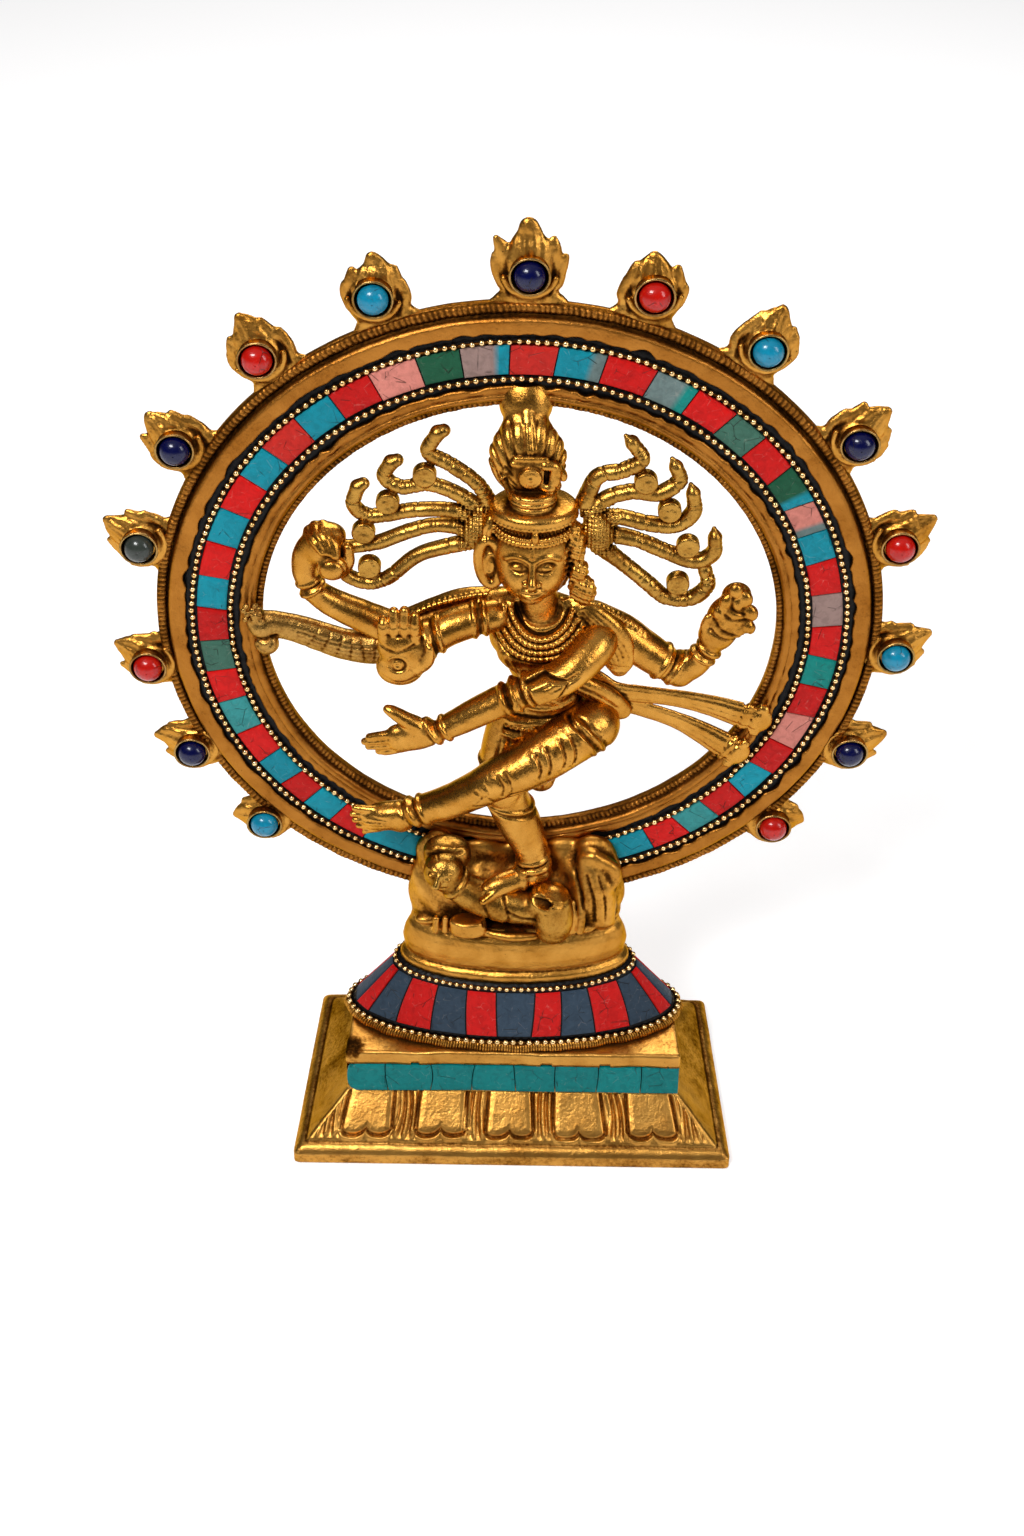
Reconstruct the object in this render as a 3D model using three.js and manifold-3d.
// A dancing Nataraja in cast brass inside its ring of flames, on a stepped base inlaid with stone.
// Millimetres, +Z up, the front faces -Y, and the origin is under the middle of the base.

import * as THREE from 'three';
import { mergeVertices } from 'three/addons/utils/BufferGeometryUtils.js';
import Module from 'manifold-3d';

const wasm = await Module();
wasm.setup();

// ---- driving dimensions ------------------------------------------------------------------------

// Clearance between pieces that touch on the real object.
const GAP = 0.3;

// Stepped base, which narrows a little towards its back. Each level has its half width at the
// front edge, and how far it reaches in front of and behind the middle.
const SLAB = { width: 63.2, front: 32, back: 32, height: 4 };
const STEP = { width: 60.7, front: 29.5, back: 29.5, height: 7 };
const PETAL_FOOT = { width: 59, front: 28, back: 28, height: 8.4 };
const BLOCK = { width: 47.9, front: 19, back: 15, foot: 17.4, height: 33 };
const BASE_TAPER = 0.058;
const BASE_WALL = 3.6;
const BAND = { bottom: 18, top: 28.2, depth: 1.3, proud: 0.6 };

// Oval drum: half width and half depth at the lower and the upper bead wire. The insets are how far
// each layer lies inside that, and the pairs are shares of the way from one wire to the other.
const DRUM_LOW = { width: 48, depth: 17.5, height: 36 };
const DRUM_HIGH = { width: 34.3, depth: 13.4, height: 53 };
const DRUM_EDGE = 1.1;
const DRUM_CORE_INSET = 2.7;
const DRUM_LAC_INSET = 1.5;
const DRUM_STONE_INSET = 0.1;
const DRUM_LAC = [0.02, 0.98];
const DRUM_STONES = [0.08, 0.92];
const DRUM_WIRE = 1.4;

// Pedestal and the mound on it.
const PEDESTAL_BOTTOM = DRUM_HIGH.height + GAP;
const PEDESTAL_TOP = 70;
const PEDESTAL_WIDTH = 32.8;
const PEDESTAL_DEPTH = 12;
const MOUND_TOP = 92;

// Ring of flames: a flat ring with a channel between two rails, standing across the base.
const RING_HEIGHT = 165.6;
const RING_FRONT = 3.2;
const RING_BACK = 8;
const RING_EDGE_FRONT = 5.5;
const RING_CHANNEL_FLOOR = 5.9;
const RING_INNER = 66.6;
const RING_OUTER = 93.9;
const RAIL_INNER = [67.8, 72.4];
const RAIL_OUTER = [85.6, 89.8];
const RING_LAC = [72.7, 85.3];
const RING_LAC_FRONT = 4.6;
const RING_TILES = [75.6, 83.4];
const RING_TILE_FRONT = 3.7;
const RING_WIRE_RADII = [74.5, 84.5];
const RING_WIRE = 1.4;
const MOSAIC_START = -160;
const MOSAIC_END = 163;
const MOSAIC_OVERRUN = 1.5;
const RING_STEPS = 48;
const MOSAIC_STEPS = 36;

// Flames, with a stone in a bezel on each. Degrees from the top, positive towards +X.
const STONE_ANGLES = [-135, -117, -99.5, -77.5, -59.5, -40, -21, 0.7, 18, 36, 56.5, 75.5, 95.5, 115, 134];
const STONE_KINDS = [
  'turquoise', 'lapis', 'coral', 'jasper', 'lapis', 'coral', 'turquoise', 'lapis',
  'coral', 'turquoise', 'lapis', 'coral', 'turquoise', 'lapis', 'coral',
];
const TOP_STONE = 7;
const STONE_RING = 98.5;
const STONE_RISE = 3.4;
const STONE_RADIUS = 4;
const BEZEL_RADIUS = 5.1;
const BEZEL_FLOOR = 0.8;
const BEZEL_WALL = 0.5;
const BEZEL_HEIGHT = 3;
const STONE_SIDES = 10;
const FLAME_FRONT = RING_EDGE_FRONT;
const FLAME_BACK = 8.2;
const FLAME_FOOT = 90;
const FLAME_TIP = 106.6;
const FLAME_HALF_WIDTH = 6.6;
const FLAME_RISE = 4.4;
const TOP_FLAME_SIZE = 1.2;

// A flame's outline up one side and down the other: [share of the half width, share of the height].
const FLAME_OUTLINE = [
  [-1.05, 0], [-1, 0.5], [-0.75, 0.8], [0, 1], [0.75, 0.8], [1, 0.5], [1.05, 0],
];

// Flying hair: every strand and disc lies in one upright plane beside the head.
const STRAND_RADIUS = 1.5;
const STRAND_Y = 1;
const DISC_RADIUS = 3.2;
const DISC_FRONT = -0.8;
const DISC_BACK = 2.2;

// Screws up through the base and the drum into the pedestal.
const SCREW_OFFSET = 20;
const SCREW_RADIUS = 2;
const SCREW_HEAD_RADIUS = 4;
const SCREW_HEAD_HEIGHT = 2.6;
const SCREW_TOP = 62;

// ---- materials ---------------------------------------------------------------------------------

const COLOUR = {
  brass: 0xc3923a,
  darkBrass: 0x8a6226,
  lac: 0x14110f,
  coral: 0xc8281e,
  turquoise: 0x1f8b98,
  teal: 0x0d8580,
  slate: 0x34404a,
  lapis: 0x141f63,
  jasper: 0x2c3a2c,
  steel: 0x8f9194,
};

const METAL_ROUGHNESS = 0.32;
const STONE_ROUGHNESS = 0.35;

function metal(colour) {
  return new THREE.MeshStandardMaterial({ color: colour, roughness: METAL_ROUGHNESS, metalness: 1 });
}

function stone(colour) {
  return new THREE.MeshStandardMaterial({ color: colour, roughness: STONE_ROUGHNESS, metalness: 0 });
}

// ---- solids ------------------------------------------------------------------------------------

function vec(x, y, z) {
  return new THREE.Vector3(x, y, z);
}

// A closed three.js geometry as a manifold solid, turned outwards if it came inside out.
function solid(geometry) {
  const plain = new THREE.BufferGeometry();
  plain.setAttribute('position', geometry.getAttribute('position'));
  if (geometry.index) {
    plain.setIndex(geometry.index);
  }
  const merged = mergeVertices(plain, 1e-4);
  const places = merged.getAttribute('position').array;
  const corners = [];
  const index = merged.index.array;
  for (let i = 0; i < index.length; i += 3) {
    const [a, b, c] = [index[i], index[i + 1], index[i + 2]];
    if (a !== b && b !== c && c !== a) {
      corners.push(a, b, c);
    }
  }
  const build = () => new wasm.Manifold(new wasm.Mesh({
    numProp: 3,
    vertProperties: Float32Array.from(places),
    triVerts: Uint32Array.from(corners),
  }));
  const firstTry = build();
  if (firstTry.volume() > 0) {
    return firstTry;
  }
  for (let i = 0; i < corners.length; i += 3) {
    [corners[i + 1], corners[i + 2]] = [corners[i + 2], corners[i + 1]];
  }
  return build();
}

function geometryOf(manifold) {
  const mesh = manifold.getMesh();
  const places = new Float32Array(mesh.numVert * 3);
  for (let i = 0; i < mesh.numVert; i += 1) {
    for (let axis = 0; axis < 3; axis += 1) {
      places[i * 3 + axis] = mesh.vertProperties[i * mesh.numProp + axis];
    }
  }
  const geometry = new THREE.BufferGeometry();
  geometry.setAttribute('position', new THREE.BufferAttribute(places, 3));
  geometry.setIndex(new THREE.BufferAttribute(Uint32Array.from(mesh.triVerts), 1));
  geometry.computeVertexNormals();
  return geometry;
}

function joined(solids) {
  return solids.reduce((whole, piece) => whole.add(piece));
}

function cutBy(whole, cutters) {
  return cutters.reduce((rest, cutter) => rest.subtract(cutter), whole);
}

// A skin over rings of points with equal counts: capped at both ends, or closed on itself.
function skin(rings, closed = false) {
  const count = rings[0].length;
  const points = rings.flat();
  const faces = [];
  const last = closed ? rings.length : rings.length - 1;
  for (let row = 0; row < last; row += 1) {
    const here = row * count;
    const there = ((row + 1) % rings.length) * count;
    for (let i = 0; i < count; i += 1) {
      const next = (i + 1) % count;
      faces.push(here + i, here + next, there + next, here + i, there + next, there + i);
    }
  }
  if (!closed) {
    const end = (rings.length - 1) * count;
    for (let i = 1; i < count - 1; i += 1) {
      faces.push(0, i + 1, i);
      faces.push(end, end + i, end + i + 1);
    }
  }
  const geometry = new THREE.BufferGeometry();
  geometry.setAttribute('position', new THREE.Float32BufferAttribute(points.flatMap((p) => p.toArray()), 3));
  geometry.setIndex(faces);
  return solid(geometry);
}

function box(x0, x1, y0, y1, z0, z1) {
  const geometry = new THREE.BoxGeometry(x1 - x0, y1 - y0, z1 - z0);
  geometry.translate((x0 + x1) / 2, (y0 + y1) / 2, (z0 + z1) / 2);
  return solid(geometry);
}

// One level of the base, drawn in by the thickness of its wall where asked.
function levelOutline(level, height, wall = 0) {
  const frontWidth = level.width - wall;
  const backWidth = frontWidth - BASE_TAPER * (level.front + level.back);
  return [
    vec(-frontWidth, -level.front + wall, height),
    vec(frontWidth, -level.front + wall, height),
    vec(backWidth, level.back - wall, height),
    vec(-backWidth, level.back - wall, height),
  ];
}

function oval(width, depth, height, centreY = 0, count = 36) {
  const ring = [];
  for (let i = 0; i < count; i += 1) {
    const turn = (i / count) * Math.PI * 2;
    ring.push(vec(width * Math.cos(turn), centreY + depth * Math.sin(turn), height));
  }
  return ring;
}

// A rounded body with its own half size along x, y and z.
function blob(centre, radii, across = 10, down = 6) {
  const geometry = new THREE.SphereGeometry(1, across, down);
  geometry.rotateX(Math.PI / 2);
  geometry.scale(...radii);
  geometry.translate(...centre);
  return solid(geometry);
}

// A limb along a smooth path, with round ends. Each station is [x, y, z, radius], extra grows it
// all round, and flat squeezes it from front to back.
function limb(stations, extra = 0, { sides = 8, steps = 2, flat = 1 } = {}) {
  const path = new THREE.CatmullRomCurve3(stations.map(([x, y, z]) => vec(x, y, z)), false, 'centripetal');
  const spans = stations.length - 1;
  const rings = [];
  const across = vec(0, 1, 0);
  const addRing = (at, along, radius) => {
    const side = across.clone().addScaledVector(along, -across.dot(along)).normalize();
    const other = new THREE.Vector3().crossVectors(along, side);
    const ring = [];
    for (let i = 0; i < sides; i += 1) {
      const turn = (i / sides) * Math.PI * 2;
      const point = at.clone();
      point.addScaledVector(other, Math.cos(turn) * (radius + extra));
      point.addScaledVector(side, Math.sin(turn) * (radius * flat + extra));
      ring.push(point);
    }
    rings.push(ring);
  };
  const total = spans * steps;
  for (let i = 0; i <= total; i += 1) {
    const place = i / steps;
    const span = Math.min(Math.floor(place), spans - 1);
    const radius = THREE.MathUtils.lerp(stations[span][3], stations[span + 1][3], place - span);
    const at = path.getPoint(i / total);
    const along = path.getTangent(i / total).normalize();
    const roundEnd = (radius * flat) * 0.6 + extra;
    if (i === 0) {
      addRing(at.clone().addScaledVector(along, -roundEnd), along, radius * 0.55);
    }
    addRing(at, along, radius);
    if (i === total) {
      addRing(at.clone().addScaledVector(along, roundEnd), along, radius * 0.55);
    }
  }
  return skin(rings);
}

// ---- stepped base ------------------------------------------------------------------------------

function basePlinth() {
  const outside = skin([
    levelOutline(SLAB, 0),
    levelOutline(SLAB, SLAB.height),
    levelOutline(STEP, STEP.height),
    levelOutline(PETAL_FOOT, PETAL_FOOT.height),
    levelOutline(BLOCK, BLOCK.foot),
    levelOutline(BLOCK, BLOCK.height),
  ]);
  const inside = skin([
    levelOutline(SLAB, -1, BASE_WALL),
    levelOutline(SLAB, SLAB.height - 1, BASE_WALL),
    levelOutline(BLOCK, BLOCK.foot - 2, BASE_WALL),
    levelOutline(BLOCK, BLOCK.height - BASE_WALL, BASE_WALL),
  ]);
  const channel = box(
    -BLOCK.width - 1, BLOCK.width + 1,
    -BLOCK.front - 1, -BLOCK.front + BAND.depth,
    BAND.bottom, BAND.top,
  );
  return cutBy(outside, [inside, channel, ...screwHoles()]);
}

function turquoiseBand() {
  return box(
    -BLOCK.width, BLOCK.width,
    -BLOCK.front - BAND.proud, -BLOCK.front + BAND.depth - GAP,
    BAND.bottom + GAP, BAND.top - GAP,
  );
}

// ---- oval drum ---------------------------------------------------------------------------------

// The drum's sloping face: t runs from the lower bead wire to the upper one.
function drumOval(t, inset) {
  const mix = (key) => THREE.MathUtils.lerp(DRUM_LOW[key], DRUM_HIGH[key], t);
  return oval(mix('width') - inset, mix('depth') - inset, mix('height'));
}

function drumCore() {
  const bottom = BLOCK.height + GAP;
  const shelf = DRUM_LOW.height - DRUM_WIRE / 2 - GAP;
  return cutBy(skin([
    oval(DRUM_LOW.width + DRUM_EDGE * 0.6, DRUM_LOW.depth + DRUM_EDGE * 0.6, bottom),
    oval(DRUM_LOW.width + DRUM_EDGE, DRUM_LOW.depth + DRUM_EDGE, (bottom + shelf) / 2),
    oval(DRUM_LOW.width + DRUM_EDGE * 0.6, DRUM_LOW.depth + DRUM_EDGE * 0.6, shelf),
    oval(DRUM_LOW.width - DRUM_CORE_INSET, DRUM_LOW.depth - DRUM_CORE_INSET, shelf),
    drumOval(1, DRUM_CORE_INSET),
  ]), screwHoles());
}

function drumSleeve(outerInset, innerInset, t0, t1) {
  return skin([
    drumOval(t0, outerInset),
    drumOval(t1, outerInset),
    drumOval(t1, innerInset),
    drumOval(t0, innerInset),
  ], true);
}

function drumWire(level) {
  const half = DRUM_WIRE / 2;
  return skin([
    oval(level.width + half, level.depth + half, level.height - half),
    oval(level.width + half, level.depth + half, level.height + half),
    oval(level.width - half, level.depth - half, level.height + half),
    oval(level.width - half, level.depth - half, level.height - half),
  ], true);
}

// ---- pedestal ----------------------------------------------------------------------------------

function pedestal() {
  const w = PEDESTAL_WIDTH;
  const d = PEDESTAL_DEPTH;
  const body = skin([
    oval(w - 0.6, d - 0.6, PEDESTAL_BOTTOM),
    oval(w, d, PEDESTAL_BOTTOM + 1.2),
    oval(w - 0.4, d - 0.4, PEDESTAL_BOTTOM + 2.8),
    oval(w - 1.8, d - 1.4, PEDESTAL_BOTTOM + 4),
    oval(w - 1.2, d - 0.8, PEDESTAL_BOTTOM + 6),
    oval(w - 1.2, d - 0.8, PEDESTAL_TOP - 5),
    oval(w - 2.4, d - 1.8, PEDESTAL_TOP - 1.5),
    oval(w - 4.6, d - 3.6, PEDESTAL_TOP),
  ]);
  const mound = skin([
    oval(w - 4.8, 9.6, PEDESTAL_TOP - 2, 0.6, 20),
    oval(w - 5, 7.6, PEDESTAL_TOP + 4, 2, 20),
    oval(w - 5.6, 6, PEDESTAL_TOP + 10, 3, 20),
    oval(w - 8, 4, PEDESTAL_TOP + 17, 3, 20),
    oval(w - 12, 2.2, MOUND_TOP, 2.4, 20),
  ]);
  const block = box(-18, -8, -12, -7, PEDESTAL_TOP - 2, PEDESTAL_TOP + 3.4);
  const folds = limb([[22, -3, 89, 4], [25, -4, 82, 4.4], [24, -4, 72, 4]]);
  return joined([body, mound, block, folds]);
}

// ---- ring of flames ----------------------------------------------------------------------------

function polar(radius, degrees, y) {
  const angle = THREE.MathUtils.degToRad(degrees);
  return vec(radius * Math.sin(angle), y, RING_HEIGHT + radius * Math.cos(angle));
}

// A solid of revolution about the ring's own axis, which runs front to back. Profile: [radius, y].
function turned(profile, steps, centre) {
  const geometry = new THREE.LatheGeometry(profile.map(([r, y]) => new THREE.Vector2(r, y)), steps);
  geometry.translate(centre.x, 0, centre.z);
  return solid(geometry);
}

// The ring's section, from the inner edge across both rails to the outer edge and back.
const RING_PROFILE = [
  [RING_INNER, RING_EDGE_FRONT],
  [RAIL_INNER[0], RING_EDGE_FRONT],
  [RAIL_INNER[0], RING_FRONT],
  [RAIL_INNER[1], RING_FRONT],
  [RAIL_INNER[1], RING_CHANNEL_FLOOR],
  [RAIL_OUTER[0], RING_CHANNEL_FLOOR],
  [RAIL_OUTER[0], RING_FRONT],
  [RAIL_OUTER[1], RING_FRONT],
  [RAIL_OUTER[1], RING_EDGE_FRONT],
  [RING_OUTER, RING_EDGE_FRONT],
  [RING_OUTER, RING_BACK],
  [RING_INNER, RING_BACK],
  [RING_INNER, RING_EDGE_FRONT],
];

// The space that the whole ring takes up, with clearance, for what is built round it.
function ringEnvelope() {
  return turned([
    [RING_INNER - GAP, RING_FRONT - GAP],
    [RING_OUTER + GAP, RING_FRONT - GAP],
    [RING_OUTER + GAP, RING_BACK + GAP],
    [RING_INNER - GAP, RING_BACK + GAP],
    [RING_INNER - GAP, RING_FRONT - GAP],
  ], RING_STEPS, polar(0, 0, 0));
}

// One flame: a leaf that stands out from the ring and blows upwards towards its tip.
function flame(degrees, size) {
  const angle = THREE.MathUtils.degToRad(degrees);
  const outline = new THREE.Shape(FLAME_OUTLINE.map(([across, up]) => {
    const radius = FLAME_FOOT + (FLAME_TIP - FLAME_FOOT) * size * up;
    const side = FLAME_HALF_WIDTH * size * across;
    return new THREE.Vector2(
      radius * Math.sin(angle) + side * Math.cos(angle),
      radius * Math.cos(angle) - side * Math.sin(angle) + FLAME_RISE * up * up,
    );
  }));
  const geometry = new THREE.ExtrudeGeometry(outline, {
    depth: FLAME_BACK - FLAME_FRONT,
    bevelEnabled: false,
  });
  geometry.rotateX(Math.PI / 2);
  geometry.translate(0, FLAME_BACK, RING_HEIGHT);
  return solid(geometry);
}

function flameRing() {
  const ring = turned(RING_PROFILE, RING_STEPS, polar(0, 0, 0));
  const flames = STONE_ANGLES.map((degrees, i) => flame(degrees, i === TOP_STONE ? TOP_FLAME_SIZE : 1));
  return joined([ring, ...flames]);
}

// A band that follows the ring from the start to the end of the mosaic.
function ringBand(inner, outer, front, back, overrun = 0) {
  const from = THREE.MathUtils.degToRad(90 - (MOSAIC_START - overrun));
  const to = THREE.MathUtils.degToRad(90 - (MOSAIC_END + overrun));
  const outline = new THREE.Shape();
  outline.absarc(0, 0, outer, from, to, true);
  outline.absarc(0, 0, inner, to, from, false);
  const geometry = new THREE.ExtrudeGeometry(outline, {
    depth: back - front,
    bevelEnabled: false,
    curveSegments: MOSAIC_STEPS,
  });
  geometry.rotateX(Math.PI / 2);
  geometry.translate(0, back, RING_HEIGHT);
  return solid(geometry);
}

function ringWire(radius) {
  const back = RING_LAC_FRONT - GAP;
  return ringBand(radius - RING_WIRE / 2, radius + RING_WIRE / 2, back - RING_WIRE, back);
}

// ---- stones in bezels --------------------------------------------------------------------------

function bezel(centre) {
  const back = FLAME_FRONT - GAP;
  const floor = back - BEZEL_FLOOR;
  const lip = back - BEZEL_HEIGHT;
  return turned([
    [0, back],
    [BEZEL_RADIUS - BEZEL_WALL, back],
    [BEZEL_RADIUS, lip],
    [STONE_RADIUS + GAP, lip],
    [STONE_RADIUS + GAP, floor],
    [0, floor],
  ], STONE_SIDES, centre);
}

function cabochon(centre) {
  const back = FLAME_FRONT - GAP - BEZEL_FLOOR - GAP;
  const girdle = back - 1.6;
  return turned([
    [0, back],
    [STONE_RADIUS, back],
    [STONE_RADIUS, girdle],
    [STONE_RADIUS * 0.78, girdle - 1.6],
    [STONE_RADIUS * 0.4, girdle - 2.5],
    [0, girdle - 2.8],
  ], STONE_SIDES, centre);
}

// ---- figure ------------------------------------------------------------------------------------

// Each function gives its piece grown by extra, so that a neighbour can be cut clear of it. The
// stations of the limbs and the points of the strands are the pose itself, chosen by hand.

function body(extra = 0) {
  const trunk = limb([
    [7, 0.5, 133, 9.5], [7.2, 0.5, 140, 11], [7.5, 0, 148, 7.6],
    [6.5, 0, 158, 9], [6, 0, 168, 10.5],
  ], extra, { flat: 0.62, sides: 12 });
  const neck = limb([[6, 0, 168, 5], [5, -0.5, 181, 4.2]], extra);
  const shoulders = limb([[-6.5, 0.5, 170.5, 4], [6, 0, 171, 4.6], [18.5, 0.5, 169.5, 4.2]], extra);
  const leg = limb([
    [0, 0.5, 140, 6.8], [-2.5, -1.5, 130, 7], [-3.6, -3.5, 119, 6.2], [0.5, -3.5, 105, 5], [5.2, -3, 92, 3.6],
  ], extra);
  const foot = limb([[5.8, -2, 89.5, 3.4], [0, -5, 87.5, 2.8], [-8, -8, 86, 2.4]], extra);
  const sole = limb([[4, -3, 88, 3], [3, -2, 80, 4]], extra);
  const drape = limb([[9, 4, 132, 4.5], [8, 4.5, 118, 3.4], [7, 4.5, 106, 1.4]], extra, { flat: 0.6 });
  return joined([trunk, neck, shoulders, leg, foot, sole, drape]);
}

function head(extra = 0) {
  const skull = blob([3.2, -3.5, 193], [8.6 + extra, 8 + extra, 10.8 + extra]);
  const chin = blob([3.3, -5.5, 185], [4.6 + extra, 4.6 + extra, 3.4 + extra]);
  const cap = blob([3.2, -2.5, 203], [11 + extra, 8.6 + extra, 6 + extra], 14, 8);
  const crown = limb([
    [3, -1.5, 206, 6.2], [2.6, -1, 212, 6.6], [1.2, 0.5, 220.5, 9.4],
    [0.8, 2.5, 228, 5.4], [0.8, 3.6, 230.6, 6],
  ], extra, { flat: 0.72 });
  const ears = [
    limb([[-6, -2, 196, 2.4], [-7, -2.5, 186, 3]], extra, { steps: 1 }),
    limb([[12.2, -2, 197, 2.6], [12.8, -2.5, 184, 3.2]], extra, { steps: 1 }),
  ];
  return joined([skull, chin, cap, crown, ...ears]);
}

// Strands of flying hair on one side, joined by small discs and a boss by the ear.
function hairFan(boss, strands, discs, extra = 0) {
  const locks = strands.map((points) => limb(
    points.map(([x, z]) => [x, STRAND_Y, z, STRAND_RADIUS]), extra, { sides: 5, steps: 2 },
  ));
  const studs = discs.map(([x, z]) => turned([
    [0, DISC_FRONT - extra],
    [DISC_RADIUS + extra, DISC_FRONT - extra],
    [DISC_RADIUS + extra, DISC_BACK + extra],
    [0, DISC_BACK + extra],
  ], 8, vec(x, 0, z)));
  const knot = blob([boss[0], 0.5, boss[1]], [3.4 + extra, 2.6 + extra, 5.5 + extra], 8, 6);
  return joined([knot, ...locks, ...studs]);
}

function hairLeft(extra = 0) {
  return hairFan([-10.6, 200], [
    [[-20.2, 227], [-23, 221.5], [-17.5, 217.5], [-11, 212], [-8.5, 204]],
    [[-32, 218.5], [-33.6, 213.4], [-29, 211], [-22.7, 212], [-15.4, 208.5], [-9.5, 203]],
    [[-40.4, 211.5], [-41.4, 205.4], [-37, 202.2], [-26.5, 204.4], [-17.6, 204.4], [-10.5, 201.5]],
    [[-42.2, 193.2], [-35.7, 194.4], [-28.1, 198.1], [-20.6, 199.8], [-11, 199]],
    [[-45.6, 190], [-43.6, 184.4], [-38.3, 182.2], [-32.9, 184.5], [-25.2, 191], [-11.5, 196]],
  ], [[-24, 214.8], [-33, 206.4], [-39, 199], [-38, 186]], extra);
}

function hairRight(extra = 0) {
  return hairFan([18.8, 200], [
    [[26.4, 225], [29.2, 220.4], [24.5, 216.6], [19.4, 213], [17, 205]],
    [[37.6, 218.5], [38.6, 213.8], [34.1, 210.4], [27.9, 210.6], [18, 204]],
    [[42.2, 211.5], [42.6, 205], [38.5, 200.8], [31.3, 201.6], [19, 202.5]],
    [[48.4, 198.5], [48.2, 192.8], [43.6, 190], [36.4, 193.3], [28.5, 196.5], [19, 199.5]],
    [[46.6, 189], [47.4, 183.4], [43.5, 178.8], [37.1, 179], [32.1, 183.8], [19.5, 196.5]],
  ], [[30.6, 213.8], [36.6, 205], [41.8, 194.2], [40.6, 182.4]], extra);
}

function rearLeftArm(extra = 0) {
  const arm = limb([
    [-7, 2, 171.5, 3.6], [-20, 2.4, 167.5, 3.8], [-31.3, 2.2, 166, 3.9],
    [-42, 2, 171.5, 3.5], [-52, 1.6, 178.5, 3], [-54, 1.2, 186, 3],
  ], extra);
  const fist = blob([-49.4, 0, 193.4], [5.6 + extra, 4 + extra, 7.2 + extra]);
  return joined([arm, fist]);
}

function rearRightArm(extra = 0) {
  const arm = limb([
    [19, 2.4, 170.5, 4.2], [31.2, 1.4, 163.2, 4.4], [42.2, -0.4, 157, 3.6], [47.6, -2, 164.4, 2.7],
  ], extra);
  const hand = limb([
    [48.4, -2.2, 165, 3], [51.6, -2.8, 171, 5.4], [53.4, -3, 177, 5], [55.6, -3, 183.6, 1.6],
  ], extra, { flat: 0.5 });
  return joined([arm, hand]);
}

function frontLeftArm(extra = 0) {
  const arm = limb([
    [-7.6, -3.4, 171, 3.4], [-20, -5.4, 170, 3.5], [-29, -8.6, 164.5, 4.4], [-29.4, -9.6, 170, 4.2],
    [-28.8, -10, 177.5, 3.2],
  ], extra);
  const thumb = limb([[-26.5, -11, 165.5, 1.6], [-22.8, -11, 169, 1.4]], extra, { steps: 1 });
  return joined([arm, thumb]);
}

function frontRightArm(extra = 0) {
  const arm = limb([
    [19.4, -3, 169.4, 4.4], [17, -9, 167, 4.6], [10.5, -12.8, 162.8, 4.3], [0.6, -13.6, 160.2, 3.8],
    [-19.8, -14, 147, 3],
  ], extra);
  const hand = limb([
    [-19.8, -14, 147, 2.8], [-28, -14, 144.6, 3.6], [-37, -13, 140.8, 1.6],
  ], extra, { flat: 0.6 });
  const thumb = limb([[-24, -14, 148, 1.5], [-31, -14, 152.2, 1.2]], extra, { steps: 1 });
  return joined([arm, hand, thumb]);
}

function raisedLeg(extra = 0) {
  const leg = limb([
    [18, -4, 140, 6.8], [7.2, -9, 134.8, 6.6], [-5.3, -12, 129.3, 5.4], [-17.8, -10.4, 119.8, 4.2],
    [-30, -8, 113.3, 3.6],
  ], extra);
  const foot = limb([[-30, -8, 113, 3.4], [-36, -7, 110.6, 3.8], [-42, -6, 109, 2.2]], extra);
  return joined([leg, foot]);
}

function waistSash(extra = 0) {
  const flat = { flat: 0.35 };
  return joined([
    limb([[14, 4, 152, 2.6], [24, 2.6, 147, 2.8], [43, 3.4, 145, 2.6], [65.2, 4.6, 139.2, 3.4]], extra, flat),
    limb([[22, 2.8, 146, 2.4], [42.2, 3.6, 138.4, 2.4], [58.2, 4.6, 128.4, 3.6]], extra, flat),
  ]);
}

function shoulderScarf(extra = 0) {
  return joined([
    limb([
      [-34.6, 1.6, 158.6, 3.1], [-45.3, 2.6, 160, 3.4], [-56.8, 3.4, 165.4, 2.9], [-64.6, 4, 168.8, 2.6],
    ], extra, { flat: 0.75 }),
    blob([-63.4, 2, 164.6], [2.6 + extra, 2.4 + extra, 4 + extra], 8, 6),
  ]);
}

// The dwarf under the dancer's foot.
function dwarf(extra = 0) {
  const skull = blob([-20.6, -8, 92.5], [4.8 + extra, 4.4 + extra, 5.4 + extra]);
  const hair = blob([-22, -3.4, 95], [5 + extra, 4 + extra, 6 + extra]);
  const trunk = limb([[-20, -5.6, 86.5, 4], [-8, -7, 80, 5], [4, -7.4, 78, 5.2]], extra);
  const knee = limb([[3, -7.4, 77, 4.2], [10.4, -9, 82.4, 4.2], [10, -9.6, 74.8, 4.4]], extra);
  return joined([skull, hair, trunk, knee]);
}

// ---- screws ------------------------------------------------------------------------------------

function screwShape(sign, extra = 0) {
  const top = SCREW_TOP + extra;
  const deck = BLOCK.height - BASE_WALL - (extra ? 0 : GAP);
  const profile = [
    [0, deck - SCREW_HEAD_HEIGHT],
    [SCREW_HEAD_RADIUS, deck - SCREW_HEAD_HEIGHT],
    [SCREW_HEAD_RADIUS, deck],
    [SCREW_RADIUS + extra, deck],
    [SCREW_RADIUS + extra, top],
    [0, top],
  ].map(([r, z]) => new THREE.Vector2(r, z));
  const geometry = new THREE.LatheGeometry(profile, 12);
  geometry.rotateX(Math.PI / 2);
  geometry.translate(sign * SCREW_OFFSET, 0, 0);
  return solid(geometry);
}

function screwHoles() {
  return [screwShape(-1, GAP), screwShape(1, GAP)];
}

// ---- assembly ----------------------------------------------------------------------------------

const object = new THREE.Group();

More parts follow.
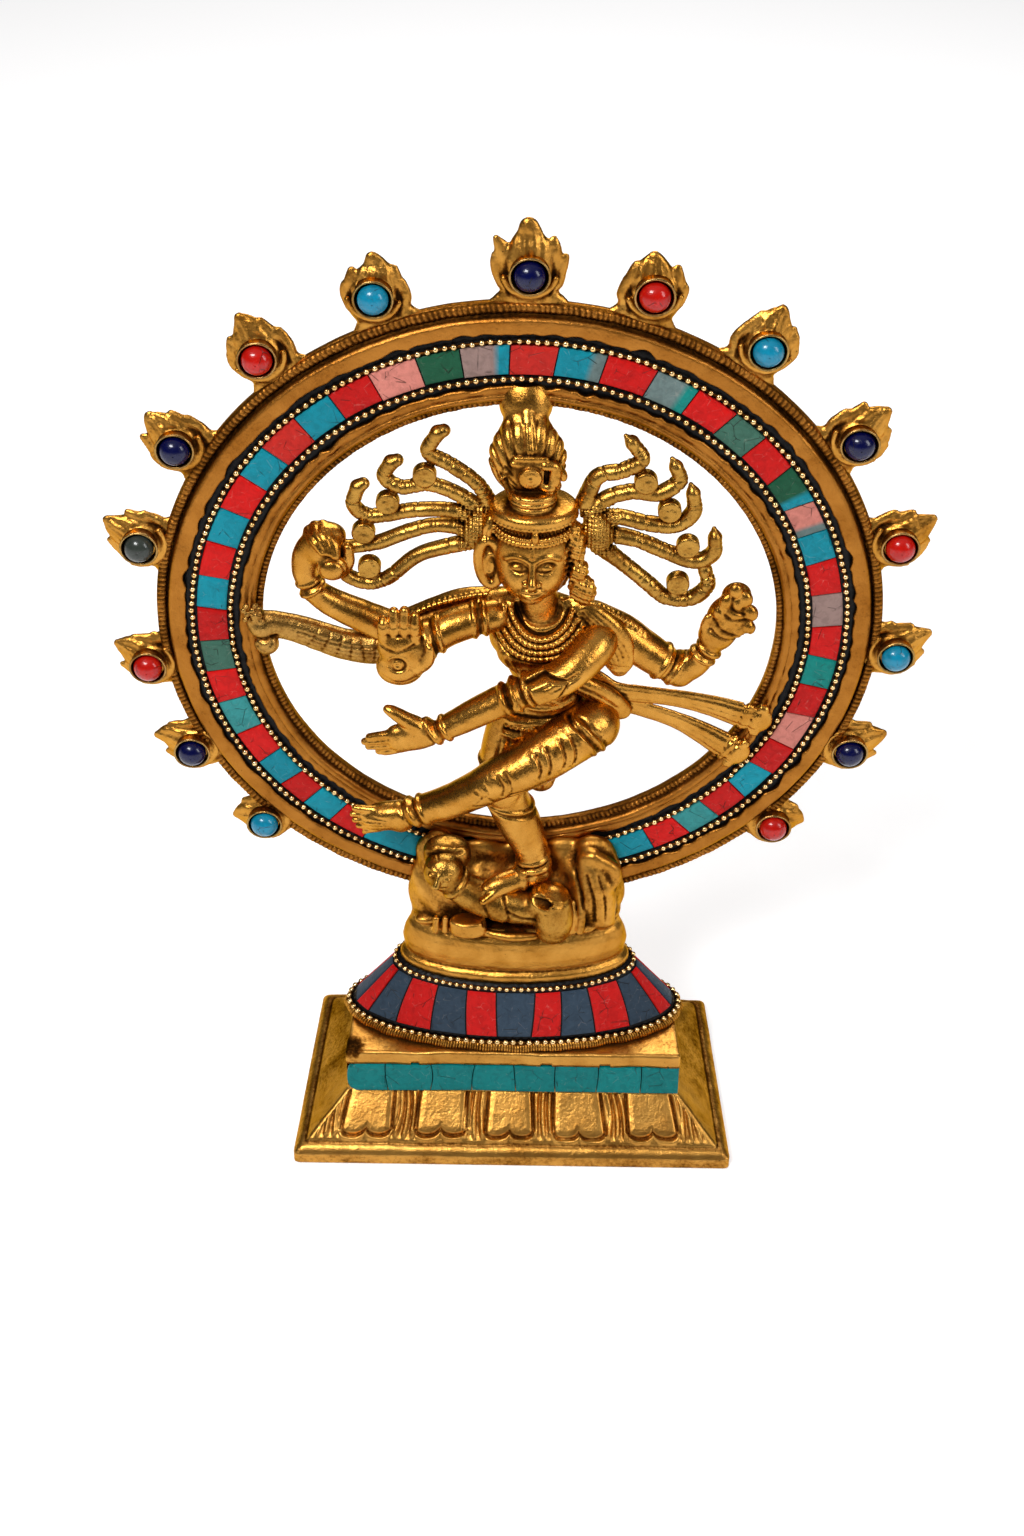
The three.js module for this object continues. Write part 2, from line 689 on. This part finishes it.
function place(name, manifold, material) {
  const mesh = new THREE.Mesh(geometryOf(manifold), material);
  mesh.name = name;
  object.add(mesh);
}

place('base_plinth', basePlinth(), metal(COLOUR.brass));
place('turquoise_band', turquoiseBand(), stone(COLOUR.teal));
place('drum_core', drumCore(), metal(COLOUR.brass));
place('drum_lac_bed', drumSleeve(DRUM_LAC_INSET, DRUM_CORE_INSET - GAP, ...DRUM_LAC), stone(COLOUR.lac));
place('drum_mosaic', drumSleeve(DRUM_STONE_INSET, DRUM_LAC_INSET - GAP, ...DRUM_STONES), stone(COLOUR.slate));
place('drum_bead_wire_lower', drumWire(DRUM_LOW), metal(COLOUR.brass));
place('drum_bead_wire_upper', drumWire(DRUM_HIGH), metal(COLOUR.brass));

const ring = ringEnvelope();
const grownDwarf = dwarf(GAP);
const grownLeg = raisedLeg(GAP);
const grownFrontRight = frontRightArm(GAP);
const grownFrontLeft = frontLeftArm(GAP);
const grownRearRight = rearRightArm(GAP);
const grownRearLeft = rearLeftArm(GAP);
const grownHead = head(GAP);
const grownSash = waistSash(GAP);
const grownScarf = shoulderScarf(GAP);
const grownBody = body(GAP);

place('pedestal', cutBy(pedestal(), [ring, grownDwarf, grownBody, ...screwHoles()]), metal(COLOUR.brass));
place('dwarf', cutBy(dwarf(), [ring, grownBody]), metal(COLOUR.brass));
place('dancer_body', cutBy(body(), [
  ring, grownHead, grownLeg, grownFrontRight, grownFrontLeft, grownRearRight, grownRearLeft, grownSash,
]), metal(COLOUR.brass));
place('head_and_crown', cutBy(head(), [ring]), metal(COLOUR.brass));
place('hair_fan_left', cutBy(hairLeft(), [ring, grownHead, grownRearLeft]), metal(COLOUR.darkBrass));
place('hair_fan_right', cutBy(hairRight(), [ring, grownHead]), metal(COLOUR.darkBrass));
place('rear_left_arm', cutBy(rearLeftArm(), [ring, grownFrontLeft, grownScarf]), metal(COLOUR.brass));
place('rear_right_arm', cutBy(rearRightArm(), [grownFrontRight]), metal(COLOUR.brass));
place('front_left_arm', frontLeftArm(), metal(COLOUR.brass));
place('front_right_arm', frontRightArm(), metal(COLOUR.brass));
place('raised_leg', cutBy(raisedLeg(), [ring]), metal(COLOUR.brass));
place('waist_sash', cutBy(waistSash(), [ring, grownLeg]), metal(COLOUR.brass));
place('shoulder_scarf', cutBy(shoulderScarf(), [ring, grownFrontLeft]), metal(COLOUR.brass));

place('flame_ring', flameRing(), metal(COLOUR.brass));
place(
  'ring_lac_bed',
  ringBand(...RING_LAC, RING_LAC_FRONT, RING_CHANNEL_FLOOR - GAP, MOSAIC_OVERRUN),
  stone(COLOUR.lac),
);
place('ring_mosaic', ringBand(...RING_TILES, RING_TILE_FRONT, RING_LAC_FRONT - GAP), stone(COLOUR.coral));
place('ring_bead_wire_inner', ringWire(RING_WIRE_RADII[0]), metal(COLOUR.brass));
place('ring_bead_wire_outer', ringWire(RING_WIRE_RADII[1]), metal(COLOUR.brass));

STONE_ANGLES.forEach((degrees, i) => {
  const centre = polar(STONE_RING, degrees, 0);
  centre.z += STONE_RISE;
  const number = String(i + 1).padStart(2, '0');
  place(`bezel_${number}`, bezel(centre), metal(COLOUR.brass));
  place(`cabochon_${number}`, cabochon(centre), stone(COLOUR[STONE_KINDS[i]]));
});

place('base_screw_left', screwShape(-1), metal(COLOUR.steel));
place('base_screw_right', screwShape(1), metal(COLOUR.steel));

export default object;
